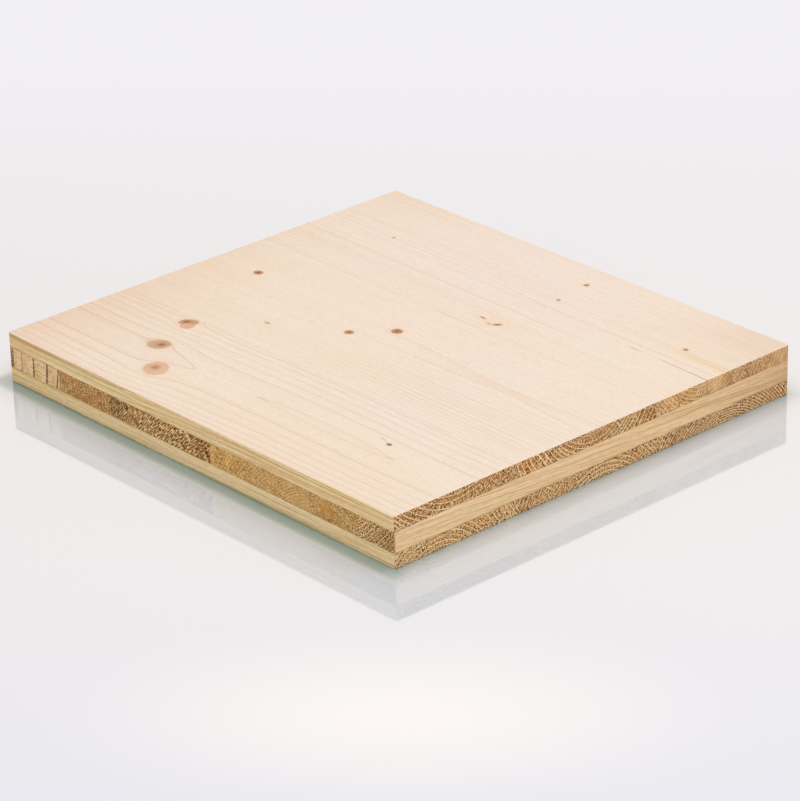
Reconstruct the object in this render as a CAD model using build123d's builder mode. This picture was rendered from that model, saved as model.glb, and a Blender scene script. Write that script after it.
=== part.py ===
from build123d import *
import os

os.makedirs("parts", exist_ok=True)

# A cut piece of three-layer solid wood panel, lying flat, in millimetres.
# X runs along the grain of the two outer layers, Y along the grain of the core.
# The origin is the middle of the underside, and +Z is up.

# cut size of the panel
panel_length = 290.0
panel_width = 265.0

# thickness of the three glued layers
bottom_layer = 8.0
core_layer = 11.0
top_layer = 8.0

# wear on the sawn edges
corner_radius = 1.5
edge_chamfer = 0.4

# widths of the top boards: the first lies along the edge at -Y and the third along the edge at +Y
# the second takes what is left between them
top_board_1 = 77.5
top_board_3 = 94.5

# widths of the bottom boards, in the same order
bottom_board_1 = 80.5
bottom_board_3 = 93.0

# widths of the core strips, from the edge at -X, where the saw left only a sliver of the first
# the fourth is the widest and takes what is left between the third and the fifth
core_strip_1 = 3.5
core_strip_2 = 38.0
core_strip_3 = 39.5
core_strip_5 = 73.0
core_strip_6 = 32.5
core_strip_7 = 25.5

# heights of the two glue planes and of the upper face
core_bottom = bottom_layer
core_top = core_bottom + core_layer
panel_top = core_top + top_layer


def joint_lines(low_edge, high_edge, low_widths, high_widths):
    """Low and high limits of pieces side by side: those with a width, and the one left between them."""
    low_lines = [low_edge]
    for width in low_widths:
        low_lines.append(low_lines[-1] + width)
    high_lines = [high_edge]
    for width in reversed(high_widths):
        high_lines.insert(0, high_lines[0] - width)
    lines = low_lines + high_lines
    return list(zip(lines, lines[1:]))


# the outside of the finished panel, to which every piece is trimmed by the saw
with BuildPart() as panel_outside:
    with BuildSketch():
        RectangleRounded(panel_length, panel_width, corner_radius)
    extrude(amount=panel_top)
    rims = panel_outside.faces().filter_by(Axis.Z).edges()
    chamfer(rims, edge_chamfer)


def make_lamella(name, x_limits, y_limits, z_limits):
    """One sawn piece of wood between its glue joints, trimmed to the panel's outside."""
    with BuildPart() as lamella:
        with BuildSketch(Plane.XY.offset(z_limits[0])):
            with Locations((sum(x_limits) / 2, sum(y_limits) / 2)):
                Rectangle(x_limits[1] - x_limits[0], y_limits[1] - y_limits[0])
        extrude(amount=z_limits[1] - z_limits[0])
        add(panel_outside.part, mode=Mode.INTERSECT)
    lamella.part.label = name
    export_step(lamella.part, f"parts/{name}.step")


x_edges = (-panel_length / 2, panel_length / 2)
y_edges = (-panel_width / 2, panel_width / 2)

# bottom layer: boards side by side across Y, each as long as the panel
bottom_joints = joint_lines(*y_edges, [bottom_board_1], [bottom_board_3])
for number, y_limits in enumerate(bottom_joints, start=1):
    make_lamella(f"bottom_board_{number}", x_edges, y_limits, (0, core_bottom))

# core: strips side by side along X, each as long as the panel is wide
left_strips = [core_strip_1, core_strip_2, core_strip_3]
right_strips = [core_strip_5, core_strip_6, core_strip_7]
for number, x_limits in enumerate(joint_lines(*x_edges, left_strips, right_strips), start=1):
    make_lamella(f"core_strip_{number}", x_limits, y_edges, (core_bottom, core_top))

# top layer: boards side by side across Y, each as long as the panel
top_joints = joint_lines(*y_edges, [top_board_1], [top_board_3])
for number, y_limits in enumerate(top_joints, start=1):
    make_lamella(f"top_board_{number}", x_edges, y_limits, (core_top, panel_top))
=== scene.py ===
import math
from dataclasses import dataclass, field

import bpy
import numpy as np
from mathutils import Matrix, Vector
from mathutils.geometry import delaunay_2d_cdt


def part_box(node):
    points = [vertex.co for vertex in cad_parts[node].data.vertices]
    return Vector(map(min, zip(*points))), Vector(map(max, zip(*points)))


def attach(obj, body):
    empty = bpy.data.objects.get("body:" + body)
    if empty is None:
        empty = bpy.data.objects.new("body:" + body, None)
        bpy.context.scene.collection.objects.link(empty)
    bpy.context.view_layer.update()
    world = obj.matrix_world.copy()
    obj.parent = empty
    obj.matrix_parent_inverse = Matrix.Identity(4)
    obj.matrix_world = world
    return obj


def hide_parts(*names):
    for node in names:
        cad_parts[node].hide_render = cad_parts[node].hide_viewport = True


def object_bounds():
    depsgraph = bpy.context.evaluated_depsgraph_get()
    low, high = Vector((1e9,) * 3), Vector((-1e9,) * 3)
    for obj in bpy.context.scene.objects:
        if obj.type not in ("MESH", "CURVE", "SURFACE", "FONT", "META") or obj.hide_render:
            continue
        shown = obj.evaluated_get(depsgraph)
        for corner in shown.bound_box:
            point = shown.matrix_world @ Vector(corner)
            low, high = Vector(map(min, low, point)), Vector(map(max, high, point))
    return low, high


# A cut piece of three-layer spruce panel lying flat on a pale floor.
# The wood is described in millimetres, and its meshes are made in metres.
# X runs along the grain of the outer boards, Y along the grain of the core strips.

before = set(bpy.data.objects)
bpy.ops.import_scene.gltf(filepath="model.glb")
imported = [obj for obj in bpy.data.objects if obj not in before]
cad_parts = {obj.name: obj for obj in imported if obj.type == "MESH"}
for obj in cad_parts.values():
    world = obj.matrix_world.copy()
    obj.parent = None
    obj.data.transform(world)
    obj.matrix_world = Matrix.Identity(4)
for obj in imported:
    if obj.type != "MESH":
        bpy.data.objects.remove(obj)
cad_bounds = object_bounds()

MM = 0.001
ALONG_X, ALONG_Y = 0, 1
PANEL_LOW, PANEL_HIGH = (np.array(corner) / MM for corner in cad_bounds)
TOP = PANEL_HIGH[2]

# anything nearer than this touches, and nothing is divided by less than this
TOUCHING = 0.01
TINY = 1e-9

# wear of the panel's upright corners and, with its limits, of its long edges, and the crack's depth
CORNER_RADIUS = 1.5
ARRIS_RADIUS = 0.42
ARRIS_LEAST = 0.2
ARRIS_MOST = 0.75
CRACK_DEPTH = 0.3

# spacing of the mesh on shown faces, and of the few points inside hidden glue faces
STEP_ALONG = 1.8
STEP_ACROSS = 0.9
STEP_THROUGH = 0.5
STEP_HIDDEN = 12.0

# closest spacing at a shown edge, at a glued edge, at a knot and at the crack
STEP_AT_EDGE = 0.14
STEP_AT_GLUE = 0.3
STEP_AT_KNOT = 0.25
STEP_AT_CRACK = 0.06

# how far that closer spacing reaches from an edge along each axis, and from the crack
EDGE_REACH = (3.0, 3.0, 1.2)
CRACK_REACH = 2.0

# how far from the crack the mesh still bends to follow it
CRACK_BEND_REACH = 8.0

# the steps to a knot's radius, and the radii over which its closer spacing reaches
KNOT_STEPS = 7
KNOT_REACH = 3


@dataclass
class Knot:
    """A branch cut across, seen on a board's broad face. It looks from pale, 0, to dark, 1 or more.

    Stretch draws it out along a line turned so many radians from X, and its middle sinks a little.
    The heart is where its pith lies, in millimetres from its middle, or None where none shows.
    """
    x: float
    y: float
    radius: float
    dark: float = 0.5
    stretch: float = 1.1
    turn: float = 0.0
    heart: tuple = (0.0, 0.0)
    sink: float = 0.08


@dataclass
class Patch:
    """A soft spot in the wood: its middle, its reach, and the colour or contrast that it multiplies by."""
    at: tuple
    reach: tuple
    by: object


@dataclass
class Lamella:
    """One piece of wood, with its pith, its year rings and what is odd about it.

    Across and up say where the pith lies, as (place along the grain, value) pairs.
    Ring is the width of a year, which grows by ring_growth with each millimetre from the pith.
    Marks are rings in known places: their radius, and how strongly they show. Faint scales the others.
    Tilt leans the rings, as (place across the grain, slope) pairs.
    Tints colour the wood, and contrasts strengthen or weaken the rings on its sanded face.
    Calm patches are where the saw tore the end less, and dull ones where it polished the rings less, so
    that their painted sheen is weaker.
    Crack is an open split in the upper face, as (x, y, half its width) points.
    Look is where it differs from the common look.
    """
    node: str
    across: list
    up: list
    ring: float
    ring_growth: float = 0.0
    marks: dict = field(default_factory=dict)
    tilt: list = field(default_factory=list)
    knots: list = field(default_factory=list)
    tints: list = field(default_factory=list)
    contrasts: list = field(default_factory=list)
    calm: list = field(default_factory=list)
    dull: list = field(default_factory=list)
    crack: list = field(default_factory=list)
    faint: float = 0.4
    look: dict = field(default_factory=dict)


# how deep a patch on a face and one on an edge go into the wood
FACE_DEPTH = 9
EDGE_DEPTH = 0.6


def on_face(x, y, reach_x, reach_y, by, depth=FACE_DEPTH):
    """A patch on the upper face."""
    return Patch((x, y, TOP), (reach_x, reach_y, depth), by)


def on_x_edge(y, z, reach_y, reach_z, by):
    """A patch on the edge at +X, where the outer boards end."""
    return Patch((PANEL_HIGH[0], y, z), (EDGE_DEPTH, reach_y, reach_z), by)


def on_y_edge(x, z, reach_x, reach_z, by):
    """A patch on the edge at -Y, where the core strips end."""
    return Patch((x, PANEL_LOW[1], z), (reach_x, EDGE_DEPTH, reach_z), by)


# colours, as a picture's red, green and blue from 0 to 255

def paint(red, green, blue):
    """A picture's colour as the linear colour that a shader wants."""
    def linear(value):
        share = value / 255
        return share / 12.92 if share <= 0.04045 else ((share + 0.055) / 1.055) ** 2.4
    return (linear(red), linear(green), linear(blue), 1.0)


# tints multiply the wood's linear colour
PINK = (1.0, 0.955, 0.925)
YELLOW = (0.995, 0.995, 0.95)
WARM = (0.96, 0.89, 0.84)

# the upper face has yellowed a little towards its corners, and is paler in its middle
PANEL_TINT_DEPTH = 7
PANEL_TINTS = [
    on_face(x, y, reach_x, reach_y, by, PANEL_TINT_DEPTH)
    for x, y, reach_x, reach_y, by in (
        (-160, -60, 38, 120, WARM),
        (-150, -125, 40, 30, (0.99, 0.95, 0.94)),
        (150, 145, 45, 45, (0.92, 0.90, 0.88)),
        (-150, 140, 50, 40, (0.99, 0.95, 0.92)),
        (70, -125, 90, 36, (1.0, 0.98, 0.94)),
        (-130, -75, 48, 55, (0.985, 0.973, 0.945)),
        (-20, 100, 90, 50, (1.0, 1.0, 1.06)),
        (45, -40, 60, 45, (1.0, 1.0, 1.045)),
    )
]

# how the wood looks where it is sanded (face), sawn along the grain (side) and sawn across it (end)
# on an end, speckle, line and early are the strength of its specks, its lines of late wood and dark early
# wood, whose pale lines are a painted sheen where the saw polished the late wood, rays is how far the
# specks follow the rays, and line_from is where in the year such a line starts
# lean slants the streaks
# the sawn edges are yellower than the sanded face partly as sawn wood less bleached and partly as painted
# light bounced from the floor, with the top washed out by strong light
COMMON_LOOK = dict(
    face_early=(245, 228, 210),
    face_other=(244, 225, 206),
    face_late=(216, 174, 144),
    side_early=(252, 218, 170),
    side_other=(238, 208, 146),
    side_late=(188, 142, 82),
    side_dark=(200, 160, 102),
    side_light=(255, 236, 194),
    end_base=(218, 166, 112),
    end_other=(192, 140, 86),
    end_line=(255, 238, 194),
    end_dark=(66, 26, 0),
    end_light=(255, 226, 180),
    speckle=0.7,
    rays=0.5,
    line=1.0,
    line_from=0.78,
    early=0.25,
    lean=0.0,
)

# a glue stain with painted shade in the joint's gap, painted shade in the crack, and the colours of a
# knot, each for a pale one and for a dark one
GLUE_STAIN_AND_SHADE = paint(126, 84, 48)
CRACK_SHADE = paint(140, 84, 46)
KNOT_HALO = paint(246, 208, 172)
KNOT_RIM = paint(196, 148, 108)
KNOT_DISC = (paint(238, 202, 170), paint(184, 138, 98))
KNOT_INNER = (paint(222, 174, 138), paint(152, 108, 72))
KNOT_RINGS = (paint(204, 152, 112), paint(142, 98, 62))
KNOT_PITH = (paint(196, 136, 98), paint(106, 66, 34))


# the boards of the outer layers and the strips of the core

TOP_BOARD_1 = Lamella(
    "top_board_1",
    across=[(-145, -96.6), (-60, -96.6), (-30, -94.5), (15, -93.1), (145, -92.7)],
    up=[(-145, 62.68), (-110, 62.75), (-80, 62.86), (-66, 62.98), (-60, 63.30), (-53, 63.70), (-46, 63.93),
        (-40, 64.02), (-30, 64.09), (-15, 64.09), (0, 64.005), (10, 63.974), (20, 63.922), (35, 63.862),
        (52, 63.844), (70, 63.853), (85, 63.909), (95, 63.965), (104, 64.005), (120, 64.09), (145, 64.12)],
    ring=2.7,
    marks={37.0: 0.9, 39.6: 0.9, 42.4: 0.6, 45.5: 0.6, 48.6: 0.6, 51.3: 0.7, 55.7: 0.9, 57.6: 0.8},
    knots=[
        Knot(-78.5, -88.0, 5.3, dark=0.48, stretch=1.2, turn=0.72, heart=(1.1, 0.6)),
        Knot(-57.4, -107.2, 6.5, dark=0.12, stretch=1.2, turn=-0.72, heart=(-1.2, 0.6)),
        Knot(-88.8, -60.2, 3.6, dark=0.66, stretch=1.55, turn=0.65, heart=(-1.6, -0.4)),
        Knot(-86.4, -63.2, 3.8, dark=0.16, stretch=1.1, turn=-0.7, heart=None),
        Knot(88.0, -83.6, 1.35, dark=1.2, stretch=1.3),
        Knot(81.9, -81.55, 0.3, dark=0.3, stretch=13.5, turn=-0.245, heart=None),
    ],
    tints=[
        on_face(-87, -63, 4.5, 4.5, (1.03, 0.90, 0.85)),
        on_face(8, -92.5, 9, 2.2, (1.0, 0.98, 0.96)),
        on_face(88, -92.5, 14, 2.2, (1.0, 0.98, 0.96)),
        on_y_edge(-100, 25.2, 55, 1.3, (0.84, 0.78, 0.69)),
        on_x_edge(-131, 22, 2, 5, (1.10, 1.14, 1.10)),
    ],
    contrasts=[on_face(52, -93, 62, 8, 0.5)],
    dull=[on_x_edge(-70, 23, 19, 8, 0.3), on_x_edge(-100, 27, 12, 2.4, 0.4)],
    look=dict(end_base=(223, 164, 99), end_other=(197, 138, 75), speckle=0.8, rays=0.35, line=1.2,
              early=0.32),
)
TOP_BOARD_2 = Lamella(
    "top_board_2",
    across=[(-145, 2.0), (-40, 0.0), (0, -2.0), (14, -2.4), (40, -3.0), (87, -3.5), (110, -3.8),
            (145, -4.8)],
    up=[(-145, 44.4), (-20, 44.75), (14, 44.94), (40, 45.32), (65, 45.62), (87, 45.81), (110, 45.65),
        (135, 45.25), (145, 45.09)],
    ring=2.3,
    ring_growth=0.03,
    marks={19.0: 0.9},
    knots=[
        Knot(-112.1, 5.7, 2.6, dark=0.9),
        Knot(-5.4, 6.4, 3.0, dark=0.95),
        Knot(-21.7, -11.3, 2.5, dark=0.9),
        Knot(-59.9, -32.7, 1.0, dark=0.2, stretch=2.2),
    ],
    tints=[
        on_face(-112.1, 4.5, 5.5, 5.5, (1.01, 0.975, 0.93)),
        on_face(-5.4, 6.4, 6.5, 6.5, (1.01, 0.97, 0.93)),
        on_face(85, -3.5, 30, 3.0, PINK),
        on_face(10, -35, 60, 22, YELLOW),
        on_x_edge(35, 22, 4, 6, (0.74, 0.64, 0.54)),
        on_x_edge(-48, 22, 7, 6, (1.05, 0.95, 0.80)),
    ],
    contrasts=[
        on_face(-110, 0, 85, 60, 0.1),
        on_face(-30, 0, 36, 22, 0.3),
        on_face(60, 28, 120, 16, 0.35),
        on_face(80, -32, 75, 14, 2.6),
    ],
    look=dict(end_base=(226, 163, 93), end_other=(200, 137, 68), speckle=0.9, rays=0.4, line=1.35,
              early=0.4),
)
TOP_BOARD_3 = Lamella(
    "top_board_3",
    across=[(-145, 77.2), (-96, 76.5), (-37, 74.9), (-10, 74.2), (19, 72.9), (48, 72.3), (87, 71.7),
            (145, 70.5)],
    up=[(-145, 44.23), (-96, 44.29), (-37, 44.38), (-10, 44.54), (19, 45.05), (48, 45.0), (145, 44.9)],
    ring=2.1,
    ring_growth=0.02,
    marks={20.0: 0.9, 26.0: 0.8},
    knots=[
        Knot(21.4, 113.9, 1.6, dark=0.62),
        Knot(24.6, 90.6, 1.15, dark=0.6),
        Knot(112.8, 92.0, 1.35, dark=0.7, stretch=1.3),
        Knot(-96.3, 86.9, 1.0, dark=0.3),
        Knot(24.6, 47.4, 1.25, dark=0.8, stretch=2.1, turn=0.8),
        Knot(13.0, 48.3, 0.8, dark=0.5, stretch=3.2, turn=-0.1),
        Knot(20.6, 45.2, 0.9, dark=0.1, stretch=1.6),
    ],
    tints=[
        on_face(21.4, 113.9, 4.5, 4.5, (1.01, 0.97, 0.96)),
        on_face(24.0, 89.6, 3.5, 3.5, (1.01, 0.98, 0.97)),
        on_face(114.5, 91.0, 6.5, 3.5, (1.01, 0.97, 0.94)),
        on_face(24, 49, 10, 6, (1.01, 0.975, 0.94)),
        on_face(18, 48, 14, 5, (1.0, 0.97, 0.92)),
        on_face(135, 87, 20, 3.0, (1.0, 0.90, 0.78), depth=6),
        on_face(130, 118, 40, 14, PINK, depth=6),
        on_x_edge(55, 23, 13, 9, (1.10, 1.02, 0.84)),
        on_x_edge(81, 23, 6, 9, (1.16, 1.22, 1.26)),
        on_x_edge(103, 21, 11, 4, (0.84, 0.76, 0.66)),
        on_x_edge(130, 23, 7, 9, (1.10, 1.18, 1.24)),
        on_x_edge(89.8, 19.6, 2.2, 1.2, (0.60, 0.52, 0.42)),
    ],
    contrasts=[
        on_face(82, 64, 26, 7, 0.0),
        on_face(125, 63, 30, 7, 0.0),
        on_face(-40, 112, 120, 20, 0.3),
    ],
    calm=[on_x_edge(82, 23, 8, 9, 0.3), on_x_edge(127, 23, 12, 9, 0.1)],
    dull=[on_x_edge(80, 23, 9, 9, 0.45), on_x_edge(129, 23, 12, 9, 0.3)],
    look=dict(end_base=(234, 184, 130), end_other=(208, 158, 104)),
    crack=[(89, 75.4, 0), (92, 75.3, 0.1), (97, 75.1, 0.1), (100, 75.0, 0), (111, 75.0, 0),
           (115, 74.8, 0.14), (145, 73.4, 0.16)],
)
BOTTOM_BOARD_1 = Lamella(
    "bottom_board_1",
    across=[(-145, -103.0), (145, -105.1)],
    up=[(-145, -19.0), (0, -20.0), (145, -21.0)],
    ring=2.3,
    marks={25.4: 1.0, 35.4: 0.8},
    knots=[Knot(64.0, -84.0, 3.2, dark=0.7), Knot(-71.0, -112.0, 2.1, dark=0.9)],
    dull=[on_x_edge(-75, 4, 16, 8, 0.5)],
    look=dict(end_base=(242, 186, 117), end_other=(216, 158, 90), speckle=0.85, rays=0.2, line=1.7,
              side_early=(254, 222, 174), side_other=(243, 212, 148)),
)
BOTTOM_BOARD_2 = Lamella(
    "bottom_board_2",
    across=[(-145, 5.0), (145, 1.5)],
    up=[(-145, -28.0), (0, -22.0), (145, -24.0)],
    ring=2.3,
    knots=[Knot(-28.0, -18.0, 5.4, dark=0.3), Knot(104.0, 12.0, 1.8, dark=0.95)],
    look=dict(end_base=(232, 175, 110), end_other=(208, 149, 84), speckle=0.9, rays=0.3, line=1.25),
)
BOTTOM_BOARD_3 = Lamella(
    "bottom_board_3",
    across=[(-145, 84.0), (145, 87.5)],
    up=[(-145, -24.0), (145, -27.5)],
    ring=1.6,
    marks={34.1: 1.0},
    knots=[Knot(12.0, 71.0, 2.2, dark=0.9), Knot(-102.0, 97.0, 4.0, dark=0.4)],
    look=dict(end_base=(222, 156, 88), end_other=(198, 132, 66), speckle=0.85, rays=0.4, line=1.75,
              early=0.58),
)
CORE_STRIP_1 = Lamella(
    "core_strip_1", across=[(0, -180.0)], up=[(0, 50.0)], ring=2.0,
    look=dict(end_base=(160, 118, 78), end_other=(140, 100, 62)),
)
CORE_STRIP_2 = Lamella(
    "core_strip_2", across=[(0, -250.0)], up=[(0, 14.0)], ring=9.5,
    marks={115.6: 0.55, 125.6: 1.0, 136.9: 1.0, 145.4: 0.9},
    tilt=[(-127, 0.0), (-112, -0.13), (-104, -0.19)],
    look=dict(end_base=(250, 216, 166), end_other=(240, 200, 146), end_line=(88, 56, 22),
              end_dark=(196, 150, 98), end_light=(255, 232, 194), speckle=0.6, line=1.1, line_from=0.84),
)
CORE_STRIP_3 = Lamella(
    "core_strip_3", across=[(0, -84.0)], up=[(0, 60.0)], ring=2.0,
    look=dict(end_base=(214, 157, 89), end_other=(192, 135, 69), speckle=0.6, line=0.2),
)
CORE_STRIP_4 = Lamella(
    "core_strip_4", across=[(0, -105.0)], up=[(0, -65.0)], ring=1.9,
    tints=[on_y_edge(-58, 13, 9, 12, (0.68, 0.70, 0.60)), on_y_edge(8, 14, 8, 12, (0.78, 0.72, 0.60))],
    look=dict(end_base=(212, 156, 76), end_other=(186, 130, 54), speckle=1.0, rays=0.85, line=0.5),
)
CORE_STRIP_5 = Lamella(
    "core_strip_5", across=[(0, 100.0)], up=[(0, -35.0)], ring=1.7,
    tints=[on_y_edge(25, 13, 12, 12, (1.05, 1.0, 0.86))],
    look=dict(end_base=(236, 186, 112), end_other=(214, 162, 88), speckle=0.55, line=0.4),
)
CORE_STRIP_6 = Lamella(
    "core_strip_6", across=[(0, 98.5)], up=[(0, 13.5)], ring=2.4,
    tints=[on_y_edge(98.5, 14, 5, 5, (1.02, 0.86, 0.56))],
    look=dict(end_base=(226, 178, 110), end_other=(202, 154, 84), speckle=0.6, line=0.15),
)
CORE_STRIP_7 = Lamella(
    "core_strip_7", across=[(0, 90.0)], up=[(0, 56.0)], ring=2.0, faint=0.6,
    tints=[on_y_edge(143, 13, 10, 12, (0.74, 0.68, 0.56)), on_x_edge(150, 13, 60, 20, (0.80, 0.73, 0.65))],
    look=dict(end_base=(236, 172, 86), end_other=(210, 146, 62), speckle=1.0, rays=0.15, line=1.75,
              early=0.68, side_early=(255, 217, 174), side_other=(245, 207, 158), lean=0.08),
)

FACE_BOARDS = [TOP_BOARD_1, TOP_BOARD_2, TOP_BOARD_3, BOTTOM_BOARD_1, BOTTOM_BOARD_2, BOTTOM_BOARD_3]
CORE_STRIPS = [
    CORE_STRIP_1, CORE_STRIP_2, CORE_STRIP_3, CORE_STRIP_4, CORE_STRIP_5, CORE_STRIP_6, CORE_STRIP_7,
]


# smooth random shapes

def ripples(random, size, count=7):
    """A smooth random function of two places, about -1 to 1, whose waves are about that long."""
    turns = random.uniform(0, 2 * math.pi, count)
    waves = 2 * math.pi / size * random.uniform(0.6, 1.5, count)
    starts = random.uniform(0, 2 * math.pi, count)

    def height(u, v=0.0):
        total = 0.0
        for turn, wave, start in zip(turns, waves, starts):
            total = total + np.cos(wave * (u * math.cos(turn) + v * math.sin(turn)) + start)
        return total / math.sqrt(count)
    return height


def soft_line(places, points):
    """Values on a smooth curve through the (place, value) points."""
    known = np.array([point[0] for point in points], float)
    values = np.array([point[1] for point in points], float)
    if len(known) == 1:
        return np.full(np.shape(places), values[0])
    climbs = np.gradient(values, known)
    after = np.clip(np.searchsorted(known, places), 1, len(known) - 1)
    before = after - 1
    width = known[after] - known[before]
    share = np.clip((places - known[before]) / width, 0, 1)
    rise = share * share * (3 - 2 * share)
    leave = share * (1 - share) ** 2 * climbs[before]
    arrive = share ** 2 * (share - 1) * climbs[after]
    return values[before] + (values[after] - values[before]) * rise + width * (leave + arrive)


# the mesh of a piece, whose sides are named by an axis and an end: 0 for the low one, -1 for the high one

SIDES = [(axis, end) for axis in range(3) for end in (0, -1)]

# the way of triangulating that keeps what lies inside the rim, and how near two points are one
INSIDE_RIM = 1
SAME_POINT = 1e-6


def hidden_sides(low, high):
    """The glued sides of a piece, which lie inside the panel."""
    return [
        (axis, end)
        for axis in range(3)
        for end, place, outside in ((0, low, PANEL_LOW), (-1, high, PANEL_HIGH))
        if abs(place[axis] - outside[axis]) > TOUCHING
    ]


def grid_lines(low, high, step, spots):
    """Places from low to high, a step apart and closer at the spots, each (place, reach, closest step)."""
    places = [low]
    while places[-1] < high:
        gap = step
        for place, reach, closest in spots:
            share = min(abs(places[-1] - place) / reach, 1.0)
            gap = min(gap, closest + (step - closest) * share)
        places.append(places[-1] + gap)
    lines = np.array(places)
    return low + (lines - low) * (high - low) / (lines[-1] - low)


def piece_lines(wood, grain, low, high, hidden):
    """The grid lines of a piece along each axis, closer at its edges, its knots and its crack."""
    spots = [[], [], []]
    for axis, end in SIDES:
        place = (low, high)[end]
        closest = STEP_AT_GLUE if (axis, end) in hidden else STEP_AT_EDGE
        spots[axis].append((place[axis], EDGE_REACH[axis], closest))
    for knot in wood.knots:
        closest = max(knot.radius / KNOT_STEPS, STEP_AT_KNOT)
        spots[0].append((knot.x, KNOT_REACH * knot.radius * knot.stretch, closest))
        spots[1].append((knot.y, KNOT_REACH * knot.radius, closest))
    if wood.crack:
        middle = np.mean([point[1] for point in wood.crack])
        spots[1].append((middle, CRACK_REACH, STEP_AT_CRACK))
    if grain == ALONG_X:
        steps = (STEP_ALONG, STEP_ACROSS, STEP_THROUGH)
    else:
        steps = (STEP_THROUGH, STEP_ALONG, STEP_THROUGH)
    return [grid_lines(low[axis], high[axis], steps[axis], spots[axis]) for axis in range(3)]


def inner_places(line):
    """Widely spaced places inside a hidden side."""
    return np.arange(line[0] + STEP_HIDDEN, line[-1] - STEP_HIDDEN / 2, STEP_HIDDEN)


def hidden_faces(lines, axis, end, ids, points):
    """The points with a few more inside a hidden side, and the triangles that join those to its rim."""
    others = [other for other in range(3) if other != axis]
    rim = np.concatenate([ids[:-1, 0], ids[-1, :-1], ids[:0:-1, -1], ids[0, :0:-1]])
    inner = [(a, b) for a in inner_places(lines[others[0]]) for b in inner_places(lines[others[1]])]
    added = np.zeros((len(inner), 3))
    added[:, axis] = lines[axis][end]
    added[:, others] = np.array(inner).reshape(-1, 2)
    names = list(rim) + list(range(len(points), len(points) + len(inner)))
    points = np.vstack([points, added])
    flat = [Vector(points[name][others]) for name in names]
    edges = [(index, (index + 1) % len(rim)) for index in range(len(rim))]
    _, _, triangles, sources, _, _ = delaunay_2d_cdt(flat, edges, [], INSIDE_RIM, SAME_POINT)
    first = [source[0] for source in sources]
    return points, [[names[first[index]] for index in triangle] for triangle in triangles]


def shown_faces(ids):
    """The quads between the grid lines of a shown side."""
    corners = [ids[:-1, :-1], ids[1:, :-1], ids[1:, 1:], ids[:-1, 1:]]
    return np.stack(corners, -1).reshape(-1, 4).tolist()


def closed_box(lines, hidden):
    """Points and faces of a closed box: quads along the grid lines, and few triangles on hidden sides."""
    used = np.zeros([len(line) for line in lines], bool)
    for axis, end in SIDES:
        side = np.moveaxis(used, axis, 0)[end]
        if (axis, end) in hidden:
            side[[0, -1], :] = True
            side[:, [0, -1]] = True
        else:
            side[...] = True
    number = np.full(used.shape, -1)
    number[used] = np.arange(np.count_nonzero(used))
    points = np.column_stack([line[index] for line, index in zip(lines, np.nonzero(used))])
    faces = []
    for axis, end in SIDES:
        ids = np.moveaxis(number, axis, 0)[end]
        if (axis, end) in hidden:
            points, corners = hidden_faces(lines, axis, end, ids, points)
        else:
            corners = shown_faces(ids)
        flip = (end == 0) != (axis == 1)
        faces += [corner[::-1] for corner in corners] if flip else corners
    return points, faces


# the wear of a piece

arris_waves = ripples(np.random.default_rng(11), 7.0)
arris_nicks = ripples(np.random.default_rng(12), 2.6, 9)


def arris_radius(along, side):
    """How far each point's sawn edge is worn. The edges on different sides wear differently."""
    waves = arris_waves(along, 60.0 * side)
    nicks = arris_nicks(along, 40.0 * side)
    return np.clip(ARRIS_RADIUS * (1 + 0.22 * waves + 0.16 * nicks), ARRIS_LEAST, ARRIS_MOST)


def round_off(square):
    """Points of a square, measured from its inner corner, moved so that its outer corner is round."""
    reach = np.linalg.norm(square, axis=1, keepdims=True)
    return square * square.max(1, keepdims=True) / np.maximum(reach, TINY)


def wear(points):
    """Rounds the panel's upright corners and, a little unevenly, its long sawn edges."""
    points = points.copy()
    half = (PANEL_HIGH - PANEL_LOW)[:2] / 2
    sign = np.where(points[:, :2] < 0, -1.0, 1.0)
    inset = np.abs(points[:, :2]) - (half - CORNER_RADIUS)
    corner = (inset > 0).all(1)
    inset[corner] = round_off(inset[corner])
    points[:, :2] = sign * (inset + half - CORNER_RADIUS)
    # how far each point lies inside the upright outside, and which way is out
    outward = np.zeros_like(inset)
    nearest = np.argmax(inset, axis=1)
    outward[np.arange(len(inset)), nearest] = 1.0
    depth = CORNER_RADIUS - inset.max(1)
    reach = np.linalg.norm(inset[corner], axis=1, keepdims=True)
    outward[corner] = inset[corner] / np.maximum(reach, TINY)
    depth[corner] = CORNER_RADIUS - reach[:, 0]
    radius = arris_radius(np.where(nearest == 0, points[:, 1], points[:, 0]), nearest)
    for level, down in ((TOP, 1.0), (0.0, -1.0)):
        below = (level - points[:, 2]) * down
        near = (depth < radius) & (below < radius)
        square = np.column_stack([radius - depth, radius - below])[near]
        shift = round_off(square) - square
        points[near, :2] += sign[near] * outward[near] * shift[:, :1]
        points[near, 2] += down * shift[:, 1]
    return points


def follow_crack(wood, points):
    """Bends the mesh so that its closest line runs along the crack, and less and less beside it."""
    if not wood.crack:
        return points
    path = np.array(wood.crack, float)
    points = points.copy()
    straight = path[:, 1].mean()
    shift = np.interp(points[:, 0], path[:, 0], path[:, 1]) - straight
    points[:, 1] += shift * np.clip(1 - np.abs(points[:, 1] - straight) / CRACK_BEND_REACH, 0, 1)
    return points


def relief(wood, points, crack):
    """The worn points, a little lower at the knots and in the crack."""
    shaped = wear(points)
    face_up = np.sign(shaped[:, 2] - TOP / 2)
    broad = (shaped[:, 2] > TOP - TOUCHING) | (shaped[:, 2] < TOUCHING)
    for knot in wood.knots:
        dip = knot.sink * np.clip(1 - knot_distance(knot, points) ** 2, 0, 1)
        shaped[:, 2] -= np.where(broad, face_up * dip, 0)
    shaped[:, 2] -= np.where(broad, face_up * CRACK_DEPTH * crack, 0)
    return shaped


# the wood inside a piece

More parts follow.
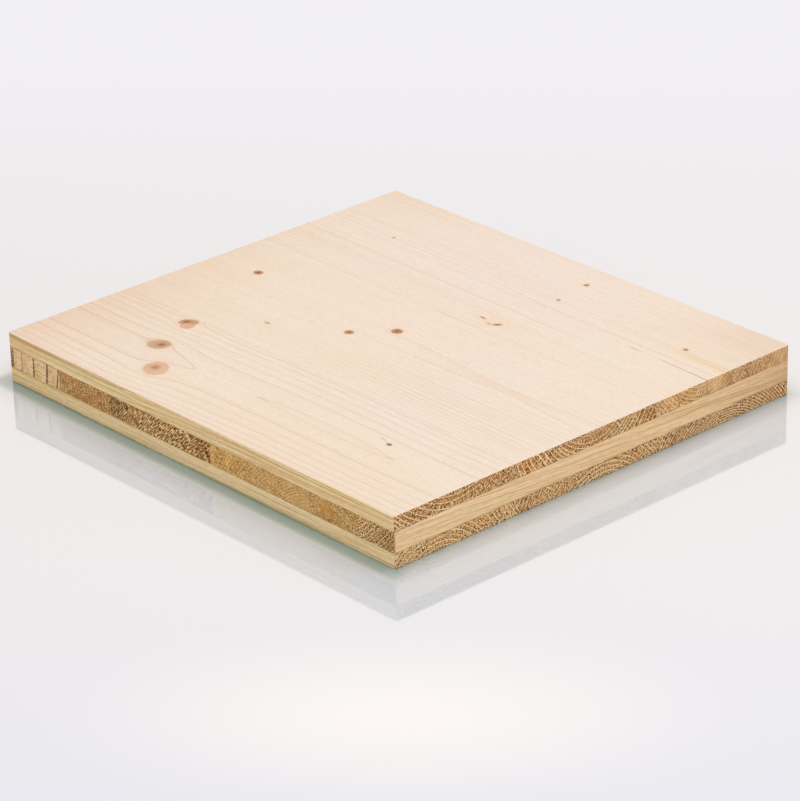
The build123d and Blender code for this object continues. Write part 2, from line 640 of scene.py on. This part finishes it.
# how far the pith and the rings stray, with the length of their waves along the grain
DRIFT, DRIFT_LENGTH = 0.4, 170.0
BEND, BEND_LENGTH = 0.14, 90.0
WOBBLE, WOBBLE_LENGTH = 0.05, 26.0

# the bends and wobbles are so many times shorter across the grain
SHORTER_ACROSS = 4

# the fibres swing round a knot over a length so many times its width, at a share of its radius
KNOT_SWING = 1.6
KNOT_PUSH = 0.95

# rings beyond the piece on each side, the radius at which a ring has its stated width, and how widths vary
SPARE_RINGS = 4
GROWTH_FROM = 30.0
WIDTH_SPREAD = 0.16
WIDTH_SPREAD_MOST = 0.35

# the range of strengths with which a ring shows on a sanded face, and with its painted sheen on a sawn end
LATE_RANGE = (0.25, 1.0)
SHINE_RANGE = (0.12, 1.0)

# rings that lie flatter than this in a face are drawn as if they were this steep
LEAST_SLOPE = 0.03

# distances in knot radii that stand for no knot near, and for no pith showing
NO_KNOT = 9.0
NO_PITH = 2.0


def knot_distance(knot, points, offset=(0.0, 0.0)):
    """How many of its own radii each point lies from the knot's middle, or from a place offset from it."""
    east = points[:, 0] - knot.x - offset[0]
    north = points[:, 1] - knot.y - offset[1]
    along = east * math.cos(knot.turn) + north * math.sin(knot.turn)
    aside = north * math.cos(knot.turn) - east * math.sin(knot.turn)
    return np.hypot(along / knot.stretch, aside) / knot.radius


def knot_fields(wood, points):
    """How near each point is to a knot and to its pith, and how dark that knot is."""
    distance = np.full(len(points), NO_KNOT)
    heart = np.full(len(points), NO_KNOT)
    dark = np.zeros(len(points))
    for knot in wood.knots:
        away = knot_distance(knot, points)
        nearest = away < distance
        dark = np.where(nearest, knot.dark, dark)
        to_pith = knot_distance(knot, points, knot.heart) if knot.heart else NO_PITH
        heart = np.where(nearest, to_pith, heart)
        distance = np.minimum(distance, away)
    return {"knot": distance, "knot_dark": dark, "knot_heart": heart}


def before_knots(wood, grain, along, across):
    """Where each point's fibre would lie across the grain if no knot had pushed it aside."""
    for knot in wood.knots:
        middle = (knot.x, knot.y)[1 - grain]
        apart = across - middle
        far = np.hypot((along - (knot.x, knot.y)[grain]) / KNOT_SWING, apart)
        push = np.clip((KNOT_PUSH * knot.radius / np.maximum(far, TINY)) ** 2, 0, 1)
        across = middle + apart * (1 - push)
    return across


def round_the_pith(wood, grain, points, random):
    """Each point's radius from the pith, how steeply that changes in a broad face, and the way round."""
    along = points[:, grain]
    across = before_knots(wood, grain, along, points[:, 1 - grain])
    bend = ripples(random, BEND_LENGTH)
    wobble = ripples(random, WOBBLE_LENGTH)
    drift = ripples(random, DRIFT_LENGTH)
    short = SHORTER_ACROSS * across
    aside = across - soft_line(along, wood.across) - DRIFT * drift(along)
    aside = aside - BEND * bend(along, short) - WOBBLE * wobble(along, short)
    up = points[:, 2] - soft_line(along, wood.up)
    radius = np.hypot(aside, up)
    climb = (soft_line(along + 1, wood.up) - soft_line(along - 1, wood.up)) / 2
    slope = np.hypot(aside, up * climb) / radius
    ray = np.arctan2(up, aside) * radius.mean()
    if wood.tilt:
        radius = radius + soft_line(across, wood.tilt) * (points[:, 2] - TOP / 2)
    return radius, slope, ray


def year_rings(wood, reach, random):
    """The year rings' radii, and how strongly each shows on a sanded face and, as a painted sheen, on a
    sawn end.
    """
    radii = [reach[0] - SPARE_RINGS * wood.ring]
    while radii[-1] < reach[1] + SPARE_RINGS * wood.ring:
        width = wood.ring + wood.ring_growth * (radii[-1] - GROWTH_FROM)
        vary = np.clip(random.normal(0, WIDTH_SPREAD), -WIDTH_SPREAD_MOST, WIDTH_SPREAD_MOST)
        radii.append(radii[-1] + width * (1 + vary))
    radii = np.array(radii)
    late = random.uniform(*LATE_RANGE, len(radii)) * wood.faint
    shine = random.uniform(*SHINE_RANGE, len(radii))
    if wood.marks:
        marks = np.array(sorted(wood.marks))
        taken = [int(np.argmin(np.abs(radii - marks[0])))]
        for mark in marks[1:]:
            taken.append(max(int(np.argmin(np.abs(radii - mark))), taken[-1] + 1))
        radii = radii + np.interp(radii, radii[taken], marks - radii[taken])
        late[taken] = [wood.marks[mark] for mark in marks]
        shine[taken] = late[taken]
    return radii, late, shine


def patched(values, patches, points):
    """The values multiplied by each patch's own at its middle, and softly less beyond its reach."""
    for patch in patches:
        share = np.exp(-(((points - patch.at) / patch.reach) ** 2).sum(1))
        values = values * (1 + np.multiply.outer(share, np.array(patch.by) - 1))
    return values


def crack_share(wood, points):
    """One in the middle of the piece's crack, and nothing beside it."""
    if not wood.crack:
        return np.zeros(len(points))
    path = np.array(wood.crack, float)
    middle = np.interp(points[:, 0], path[:, 0], path[:, 1])
    width = np.interp(points[:, 0], path[:, 0], path[:, 2], left=0.0)
    apart = np.abs(points[:, 1] - middle) / np.maximum(width, TOUCHING)
    return np.where(width > TOUCHING, np.clip(1.5 - apart, 0, 1), 0)


def grow(wood, grain, points, glue_planes, random):
    """What the shader needs to know of the wood at each point."""
    radius, slope, ray = round_the_pith(wood, grain, points, random)
    radii, late, shine = year_rings(wood, (radius.min(), radius.max()), random)
    years = np.arange(len(radii))
    count = np.interp(radius, radii, years)
    return {
        "ring": count,
        "late": patched(np.interp(count, years, late), wood.contrasts, points),
        "shine": patched(np.interp(count, years, shine), wood.dull, points),
        "torn": patched(np.ones(len(points)), wood.calm, points),
        "slope": np.clip(slope, LEAST_SLOPE, 1),
        "ray": ray,
        **knot_fields(wood, points),
        "crack": crack_share(wood, points),
        "glue": np.min([np.abs(points[:, axis] - place) for axis, place in glue_planes], axis=0),
        "tint": patched(np.ones((len(points), 3)), PANEL_TINTS + wood.tints, points),
    }


# a piece with its mesh and its material

# a bend in the mesh sharper than this stays sharp
SHARP_ANGLE = math.radians(50)


def wood_mesh(name, points, faces, fields):
    """A mesh in metres whose points carry what the shader needs to know."""
    mesh = bpy.data.meshes.new(name)
    mesh.from_pydata((points * MM).tolist(), [], faces)
    for label, values in fields.items():
        kind, holder = ("FLOAT_VECTOR", "vector") if values.ndim == 2 else ("FLOAT", "value")
        attribute = mesh.attributes.new(label, kind, "POINT")
        attribute.data.foreach_set(holder, values.astype(np.float32).ravel())
    mesh.shade_smooth()
    mesh.set_sharp_from_angle(angle=SHARP_ANGLE)
    return mesh


def make_piece(wood, grain):
    """The dressed lamella, which stands for its CAD node."""
    low, high = (np.array(corner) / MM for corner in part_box(wood.node))
    seed = sum(ord(letter) * place for place, letter in enumerate(wood.node, 7))
    hidden = hidden_sides(low, high)
    lines = piece_lines(wood, grain, low, high, hidden)
    points, faces = closed_box(lines, hidden)
    points = follow_crack(wood, points)
    glue_planes = [(axis, lines[axis][end]) for axis, end in hidden]
    fields = grow(wood, grain, points, glue_planes, np.random.default_rng(seed))
    mesh = wood_mesh(wood.node + "_wood", relief(wood, points, fields["crack"]), faces, fields)
    mesh.materials.append(wood_material(wood.node + "_finish", grain, wood.look))
    piece = bpy.data.objects.new(wood.node + "_wood", mesh)
    bpy.context.scene.collection.objects.link(piece)
    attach(piece, "root")
    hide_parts(wood.node)


# materials

class Shader:
    """Adds nodes to a material. An input is a plain value or another node's output."""

    def __init__(self, name):
        self.material = bpy.data.materials.new(name)
        self.material.use_nodes = True
        self.tree = self.material.node_tree
        self.tree.nodes.clear()

    def add(self, kind, inputs=None, **settings):
        node = self.tree.nodes.new("ShaderNode" + kind)
        for name, value in settings.items():
            setattr(node, name, value)
        for name, value in (inputs or {}).items():
            if isinstance(value, bpy.types.NodeSocket):
                self.tree.links.new(value, node.inputs[name])
            else:
                node.inputs[name].default_value = value
        return node

    def math(self, operation, first, second=0.0):
        return self.add("Math", {0: first, 1: second}, operation=operation).outputs[0]

    def plus(self, first, second):
        return self.math("ADD", first, second)

    def times(self, first, second):
        return self.math("MULTIPLY", first, second)

    def less(self, value):
        """One minus the value."""
        return self.math("SUBTRACT", 1.0, value)

    def line(self, value, low, high, to_low=0.0, to_high=1.0, **settings):
        """A straight climb from to_low to to_high as the value goes from low to high."""
        inputs = {"Value": value, "From Min": low, "From Max": high, "To Min": to_low, "To Max": to_high}
        return self.add("MapRange", inputs, **settings).outputs[0]

    def step(self, value, low, high, to_low=0.0, to_high=1.0):
        """The same as line, but with a smooth start and end."""
        return self.line(value, low, high, to_low, to_high, interpolation_type="SMOOTHSTEP")

    def mix(self, share, first, second, blend="MIX"):
        node = self.add("Mix", {0: share, 6: first, 7: second}, data_type="RGBA", blend_type=blend)
        return node.outputs[2]

    def mix_value(self, share, first, second):
        return self.add("Mix", {0: share, 2: first, 3: second}, data_type="FLOAT").outputs[0]

    def noise(self, vector, scale, detail=2.0, roughness=0.5):
        inputs = {"Vector": vector, "Scale": scale, "Detail": detail, "Roughness": roughness}
        return self.add("TexNoise", inputs).outputs[0]

    def field(self, name):
        return self.add("Attribute", attribute_name=name).outputs["Fac"]

    def vector(self, x, y, z):
        return self.add("CombineXYZ", {0: x, 1: y, 2: z}).outputs[0]

    def shade(self, color, share):
        """The colour with its light multiplied by a share."""
        return self.add("VectorMath", {0: color, "Scale": share}, operation="SCALE").outputs[0]


class WoodShader(Shader):
    """The shader of one piece of wood. It knows each point's place in millimetres and in its year ring."""

    def __init__(self, name, grain, look):
        super().__init__(name)
        self.look = {**COMMON_LOOK, **look}
        coordinates = self.add("TexCoord")
        at = self.add("SeparateXYZ", {0: coordinates.outputs["Object"]})
        x, y, z = (self.times(at.outputs[axis], 1 / MM) for axis in range(3))
        self.place = self.vector(x, y, z)
        self.along, self.across, self.up = (x, y, z) if grain == ALONG_X else (y, x, z)
        if self.look["lean"]:
            self.up = self.plus(self.up, self.times(self.along, self.look["lean"]))
        facing = self.add("SeparateXYZ", {0: coordinates.outputs["Normal"]})
        self.end_on = self.step(self.math("ABSOLUTE", facing.outputs[grain]), 0.5, 0.8)
        self.broad = self.step(self.math("ABSOLUTE", facing.outputs[2]), 0.5, 0.85)
        self.fibres = self.drawn_out(0.03, 2.6, 4.0, 0.65)
        self.bands = self.drawn_out(0.012, 0.22)
        self.streaks = self.drawn_out(0.012, 1.25, 3.0, 0.6)
        self.dashes = self.drawn_out(0.2, 1.3, 3.0, 0.65)
        self.find_year()

    def color(self, name):
        return paint(*self.look[name])

    def drawn_out(self, squeeze, scale, detail=2.0, roughness=0.5):
        """Noise that is drawn out along the grain."""
        place = self.vector(self.times(self.along, squeeze), self.across, self.up)
        return self.noise(place, scale, detail, roughness)

    def find_year(self):
        """How far each point is through its year, and the line of late wood that ends the year."""
        slope = self.mix_value(self.broad, 1.0, self.field("slope"))
        waver = self.line(self.drawn_out(0.03, 0.8), 0, 1, -0.06, 0.06)
        self.count = self.plus(self.field("ring"), self.times(waver, slope))
        self.year = self.math("FRACT", self.count)
        # the line is as wide on the face however flat the ring is cut
        self.stop = self.less(self.step(self.year, self.less(self.times(slope, 0.05)), 1.0))
        first = self.less(self.times(slope, 0.34))
        last = self.less(self.times(slope, 0.10))
        self.thin_line = self.step(self.year, first, last)
        self.wide_band = self.step(self.year, 0.35, 0.95)

    def late_wood(self, line, band):
        """How much late wood shows, from its thin line and from the band that leads up to it."""
        shows = self.plus(self.times(self.thin_line, line), self.times(self.wide_band, band))
        return self.times(self.times(shows, self.stop), self.field("late"))

    def end_noise(self, around, outward, start, detail):
        """Noise on a sawn end, so fine on the way round the pith and outward through the rings."""
        place = self.vector(self.times(self.field("ray"), around), self.times(self.count, outward), start)
        return self.noise(place, 1.0, detail)


# the sanded face is a little yellower in soft clouds
CLOUD_TINT = (1.0, 0.99, 0.965, 1.0)


def sanded_face(s):
    """Smooth pale wood with the year rings as thin lines."""
    color = s.mix(s.step(s.bands, 0.35, 0.65), s.color("face_early"), s.color("face_other"))
    dotted = s.line(s.dashes, 0.3, 0.7, 0.5, 1.2)
    color = s.mix(s.times(s.late_wood(0.55, 0.12), dotted), color, s.color("face_late"))
    color = s.shade(color, s.line(s.fibres, 0.25, 0.75, 0.940, 1.050))
    color = s.shade(color, s.line(s.dashes, 0.25, 0.75, 0.925, 1.07))
    clouds = s.step(s.drawn_out(0.4, 0.04), 0.40, 0.62)
    return s.mix(clouds, color, s.mix(1.0, color, CLOUD_TINT, "MULTIPLY"))


def sawn_side(s):
    """Edge sawn along the grain, with long streaks, yellower than the sanded face partly as painted light
    bounced from the floor.
    """
    color = s.mix(s.step(s.bands, 0.35, 0.65), s.color("side_early"), s.color("side_other"))
    color = s.mix(s.late_wood(0.35, 0.20), color, s.color("side_late"))
    color = s.mix(s.step(s.streaks, 0.50, 0.32, 0.0, 0.52), color, s.color("side_dark"))
    color = s.mix(s.step(s.streaks, 0.50, 0.68, 0.0, 0.62), color, s.color("side_light"))
    color = s.shade(color, s.line(s.fibres, 0.25, 0.75, 0.91, 1.07))
    return s.shade(color, s.line(s.dashes, 0.25, 0.75, 0.86, 1.12))


def torn_specks(s):
    """Noise drawn out along the rings or, as far as the look says so, along the rays."""
    along_rings = s.end_noise(0.95, 3.4, 0.0, 1.0)
    along_rays = s.end_noise(1.9, 0.55, 7.0, 1.0)
    torn = s.mix_value(s.look["rays"], along_rings, along_rays)
    return s.mix_value(0.25, torn, s.drawn_out(0.2, 2.0, 1.0, 0.6))


def late_lines_and_sheen(s):
    """How much of each year's last wood the saw polished, in beads along the ring, painted as a sheen in
    the colour end_line, which on core strip 2 is dark late wood instead.
    """
    beads = s.line(s.end_noise(0.9, 1.0, 3.0, 2.0), 0.3, 0.6, 0.38, 1.2)
    line_from = s.look["line_from"]
    late_line = s.times(s.step(s.year, line_from, line_from + 0.06), s.stop)
    return s.times(s.times(late_line, s.field("shine")), s.times(beads, s.look["line"]))


def sawn_end(s, specks):
    """End sawn across the grain, where the saw tore the early wood, with a painted sheen on the late wood
    that it polished.
    """
    speckle = s.times(s.line(s.drawn_out(0.2, 0.18), 0.35, 0.65, 0.75, 1.2), s.look["speckle"])
    speckle = s.times(speckle, s.field("torn"))
    color = s.mix(s.step(s.drawn_out(0.2, 0.16), 0.35, 0.65), s.color("end_base"), s.color("end_other"))
    color = s.mix(s.step(s.year, 0.6, 0.0, 0.0, s.look["early"]), color, s.color("end_dark"))
    color = s.mix(s.times(s.step(specks, 0.50, 0.43), speckle), color, s.color("end_dark"))
    color = s.mix(s.times(s.step(specks, 0.51, 0.59), speckle), color, s.color("end_light"))
    # a painted sheen on the late wood that the saw polished
    return s.mix(late_lines_and_sheen(s), color, s.color("end_line"))


def glue_stain_and_shade(s, color):
    """Darkens the wood a little beside the glue, more in some places than in others: partly a glue stain,
    partly painted shade in the joint's gap.
    """
    unevenness = s.line(s.noise(s.place, 0.12), 0.35, 0.65, 0.1, 1.0)
    glue = s.times(s.step(s.field("glue"), 0.45, 0.08), unevenness)
    # partly a glue stain and partly painted shade in the joint's gap, stronger on the edges than on the
    # broad faces
    return s.mix(s.times(glue, s.mix_value(s.broad, 0.55, 0.16)), color, GLUE_STAIN_AND_SHADE)


def cut_knots(s, color):
    """The discs of the knots, darker towards their piths, with rings and a pale halo."""
    torn = s.line(s.noise(s.place, 0.30, 3.0), 0, 1, -0.14, 0.14)
    away = s.plus(s.field("knot"), torn)
    heart = s.plus(s.field("knot_heart"), s.times(torn, 0.6))
    dark = s.field("knot_dark")
    color = s.mix(s.step(away, 2.0, 0.9, 0.0, 0.25), color, KNOT_HALO)
    disc = s.mix(dark, *KNOT_DISC)
    disc = s.mix(s.step(heart, 1.0, 0.1), disc, s.mix(dark, *KNOT_INNER))
    rings = s.math("FRACT", s.times(heart, 3.4))
    disc = s.mix(s.step(rings, 0.2, 0.9, 0.0, 0.25), disc, s.mix(dark, *KNOT_RINGS))
    disc = s.mix(s.step(heart, 0.42, 0.12), disc, s.mix(dark, *KNOT_PITH))
    disc = s.mix(s.times(s.step(away, 0.70, 0.95), 0.5), disc, KNOT_RIM)
    patchy = s.line(s.noise(s.place, 0.55), 0.3, 0.7, 0.8, 1.0)
    return s.mix(s.times(s.step(away, 1.15, 0.80), patchy), color, disc)


# the surface of the wood: along the grain and on sawn ends, and how deep its fibres and specks look
ROUGH_WOOD = 0.65
ROUGH_END = 0.85
WOOD_SPECULAR = 0.08
BUMP_STRENGTH = 0.35
BUMP_DEPTH = 0.08 * MM
END_BUMP = 2.0
# how strongly the crack is painted with shade
CRACK_DARKNESS = 0.85


def wood_material(name, grain, look):
    """Spruce: sanded on the broad faces, sawn along the grain and across it on the edges."""
    s = WoodShader(name, grain, look)
    specks = torn_specks(s)
    color = s.mix(s.end_on, sawn_side(s), sawn_end(s, specks))
    # the sanded face and the sawn edges differ partly as wood and partly as painted light: bounce from the
    # floor on the edges, and a top washed out by strong light
    color = s.mix(s.broad, color, sanded_face(s))
    color = cut_knots(s, glue_stain_and_shade(s, color))
    tint = s.add("Attribute", attribute_name="tint").outputs["Vector"]
    color = s.mix(1.0, color, tint, "MULTIPLY")
    # painted shade in the crack
    color = s.mix(s.times(s.field("crack"), CRACK_DARKNESS), color, CRACK_SHADE)
    rough = s.mix_value(s.end_on, ROUGH_WOOD, ROUGH_END)
    end_height = s.times(s.times(specks, s.end_on), END_BUMP)
    height = s.plus(s.times(s.fibres, s.less(s.end_on)), end_height)
    bump = s.add("Bump", {"Height": height, "Strength": BUMP_STRENGTH, "Distance": BUMP_DEPTH})
    surface = s.add("BsdfPrincipled", {
        "Base Color": color,
        "Roughness": rough,
        "Normal": bump.outputs[0],
        "Specular IOR Level": WOOD_SPECULAR,
    })
    s.add("OutputMaterial", {"Surface": surface.outputs[0]})
    return s.material


# the floor, in metres, and the backdrop that it fades into

FLOOR_BELOW = 0.0001
FLOOR_SIZE = 8.0
HOLE_INSET = 0.004
BACKDROP = paint(242, 240, 244)
FLOOR_MATT = (0.549, 0.589, 0.632, 1.0)
FLOOR_FRONT = (0.499, 0.559, 0.650, 1.0)
# the colour of the painted pool of light
FLOOR_POOL_OF_LIGHT = (0.644, 0.669, 0.682, 1.0)
# the colour of the painted contact shadow beside the panel
FLOOR_CONTACT_SHADOW = (0.115, 0.240, 0.240, 1.0)
FLOOR_GLOSS = (0.25, 0.25, 0.25, 1.0)
FLOOR_ROUGHNESS = 0.05

# from where to where the floor takes its front colour, fades all round, and fades behind the panel
FRONT_REACH = (0.15, 0.45)
FADE_ROUND = (0.5, 0.9)
FADE_BEHIND = (0.05, 0.55)

# a painted pool of light on the floor in front of the panel's corner at +X and -Y
POOL_FORWARD = 0.327
POOL_ASIDE = 0.017
POOL_DEPTH = 0.09
POOL_WIDTH = 0.17

# a painted contact shadow: the floor darkens beside the panel over about this length, by a share for each
# side of that corner
CONTACT_LENGTH = 0.005
CONTACT_DARK_SIDE = 0.45
CONTACT_LIGHT_SIDE = 0.55
SIDE_BLEND = 0.02

# on the side away from the lamp the painted shadow is darker still, in a band which ends between these two
# distances
BAND_INNER = 0.0042
BAND_OUTER = 0.0106
BAND_STRENGTH = 0.70


def floor_mesh(half):
    """A wide square, open where the panel covers it."""
    mesh = bpy.data.meshes.new("floor")
    outer = FLOOR_SIZE / 2
    inner = half - HOLE_INSET
    turns = ((-1, -1), (1, -1), (1, 1), (-1, 1))
    corners = [(outer * x, outer * y, 0.0) for x, y in turns]
    corners += [(inner[0] * x, inner[1] * y, 0.0) for x, y in turns]
    sides = [(i, (i + 1) % 4, (i + 1) % 4 + 4, i + 4) for i in range(4)]
    mesh.from_pydata(corners, [], sides)
    return mesh


def pool_of_light(s, forward, aside):
    """The floor's colour, with a painted pool of light in front."""
    pool_at = s.vector(s.times(s.plus(forward, -POOL_FORWARD), 1 / POOL_DEPTH),
                       s.times(s.plus(aside, -POOL_ASIDE), 1 / POOL_WIDTH), 0.0)
    pool = s.add("VectorMath", {0: pool_at}, operation="LENGTH").outputs["Value"]
    color = s.mix(s.step(forward, *FRONT_REACH), FLOOR_MATT, FLOOR_FRONT)
    return s.mix(s.step(pool, 1.0, 0.0), color, FLOOR_POOL_OF_LIGHT)


def contact_shade(s, color, x, y, aside, half):
    """Paints a contact shadow on the floor beside the panel, darker in a band on the side away from the
    lamp.
    """
    beyond_x = s.plus(s.math("ABSOLUTE", x), -half[0])
    beyond_y = s.plus(s.math("ABSOLUTE", y), -half[1])
    outside = s.math("MAXIMUM", beyond_x, beyond_y)
    light_side = s.step(aside, 0.0, SIDE_BLEND)
    strength = s.mix_value(light_side, CONTACT_DARK_SIDE, CONTACT_LIGHT_SIDE)
    shade = s.math("EXPONENT", s.times(s.math("MAXIMUM", outside, 0.0), -1 / CONTACT_LENGTH))
    band = s.times(s.step(outside, BAND_OUTER, BAND_INNER), s.times(s.less(light_side), BAND_STRENGTH))
    color = s.mix(band, color, FLOOR_CONTACT_SHADOW)
    return s.mix(s.times(shade, strength), color, FLOOR_CONTACT_SHADOW)


def floor_material(half):
    """A pale floor that mirrors a little and fades into the backdrop, with a painted pool of light and a
    painted contact shadow.
    """
    s = Shader("floor_finish")
    place = s.add("TexCoord").outputs["Object"]
    at = s.add("SeparateXYZ", {0: place})
    x, y = at.outputs[0], at.outputs[1]
    forward = s.times(s.math("SUBTRACT", x, y), math.sqrt(0.5))
    aside = s.times(s.plus(x, y), math.sqrt(0.5))
    color = contact_shade(s, pool_of_light(s, forward, aside), x, y, aside, half)
    matt = s.add("BsdfDiffuse", {"Color": color})
    gloss = s.add("BsdfGlossy", {"Color": FLOOR_GLOSS, "Roughness": FLOOR_ROUGHNESS})
    ground = s.add("AddShader", {0: matt.outputs[0], 1: gloss.outputs[0]})
    far = s.add("VectorMath", {0: place}, operation="LENGTH").outputs["Value"]
    faded = s.math("MAXIMUM", s.step(far, *FADE_ROUND), s.step(s.times(forward, -1), *FADE_BEHIND))
    share = s.times(faded, s.add("LightPath").outputs["Is Camera Ray"])
    glow = s.add("Emission", {"Color": BACKDROP})
    surface = s.add("MixShader", {0: share, 1: ground.outputs[0], 2: glow.outputs[0]})
    s.add("OutputMaterial", {"Surface": surface.outputs[0]})
    return s.material


def make_floor():
    """The floor, just under the panel."""
    half = PANEL_HIGH[:2] * MM
    mesh = floor_mesh(half)
    mesh.materials.append(floor_material(half))
    floor = bpy.data.objects.new("floor", mesh)
    floor.location.z = -FLOOR_BELOW
    bpy.context.scene.collection.objects.link(floor)


# light

SKY = (1.0, 1.0, 1.0, 1.0)
SKY_STRENGTH = 0.5
SKY_IN_GLOSS = (1.326, 1.056, 0.904, 1.0)
LAMP_SIZE = 2.4
LAMP_ENERGY = 25.9
LAMP_PLACE = (0.5, 0.0, 1.8)


def sky_light(tree, color, strength=1.0):
    """The light of a sky in one colour."""
    sky = tree.nodes.new("ShaderNodeBackground")
    sky.inputs["Color"].default_value = color
    sky.inputs["Strength"].default_value = strength
    return sky.outputs[0]


def make_sky():
    """An even pale sky, which gloss and the camera see in colours of their own."""
    world = bpy.data.worlds.new("studio")
    bpy.context.scene.world = world
    world.use_nodes = True
    tree = world.node_tree
    tree.nodes.clear()
    paths = tree.nodes.new("ShaderNodeLightPath")
    light = sky_light(tree, SKY, SKY_STRENGTH)
    for ray, color in (("Is Glossy Ray", SKY_IN_GLOSS), ("Is Camera Ray", BACKDROP)):
        choice = tree.nodes.new("ShaderNodeMixShader")
        tree.links.new(paths.outputs[ray], choice.inputs[0])
        tree.links.new(light, choice.inputs[1])
        tree.links.new(sky_light(tree, color), choice.inputs[2])
        light = choice.outputs[0]
    output = tree.nodes.new("ShaderNodeOutputWorld")
    tree.links.new(light, output.inputs["Surface"])


def make_lamp():
    """A large soft lamp overhead."""
    lamp = bpy.data.lights.new("overhead", "AREA")
    lamp.shape = "SQUARE"
    lamp.size = LAMP_SIZE
    lamp.energy = LAMP_ENERGY
    holder = bpy.data.objects.new("overhead", lamp)
    holder.location = LAMP_PLACE
    bpy.context.scene.collection.objects.link(holder)


# where the photograph was taken from, in metres and degrees, with a lens and a sensor in millimetres
CAMERA_PLACE = (1.2766, -1.1349, 0.7999)
CAMERA_AZIMUTH = 48.303
CAMERA_ELEVATION = 25.301
CAMERA_ROLL = -1.505
CAMERA_LENS = 168.4
CAMERA_SENSOR = 36.0
CAMERA_NEAR = 0.05


def make_camera():
    """The camera at the photograph's place, looking down at the panel over its near corner."""
    azimuth, elevation, roll = (math.radians(a) for a in (CAMERA_AZIMUTH, CAMERA_ELEVATION, CAMERA_ROLL))
    back = Vector((math.sin(azimuth) * math.cos(elevation), -math.cos(azimuth) * math.cos(elevation),
                   math.sin(elevation)))
    level = Vector((math.cos(azimuth), math.sin(azimuth), 0.0))
    upright = back.cross(level)
    right = math.cos(roll) * level + math.sin(roll) * upright
    up = math.cos(roll) * upright - math.sin(roll) * level
    data = bpy.data.cameras.new("camera")
    data.lens = CAMERA_LENS
    data.sensor_width = CAMERA_SENSOR
    data.clip_start = CAMERA_NEAR
    camera = bpy.data.objects.new("camera", data)
    turn = Matrix((right, up, back)).transposed()
    camera.matrix_world = Matrix.Translation(CAMERA_PLACE) @ turn.to_4x4()
    bpy.context.scene.collection.objects.link(camera)
    bpy.context.scene.camera = camera


for board in FACE_BOARDS:
    make_piece(board, ALONG_X)
for strip in CORE_STRIPS:
    make_piece(strip, ALONG_Y)
make_floor()
make_sky()
make_lamp()
make_camera()
bpy.context.scene.view_settings.view_transform = "Standard"
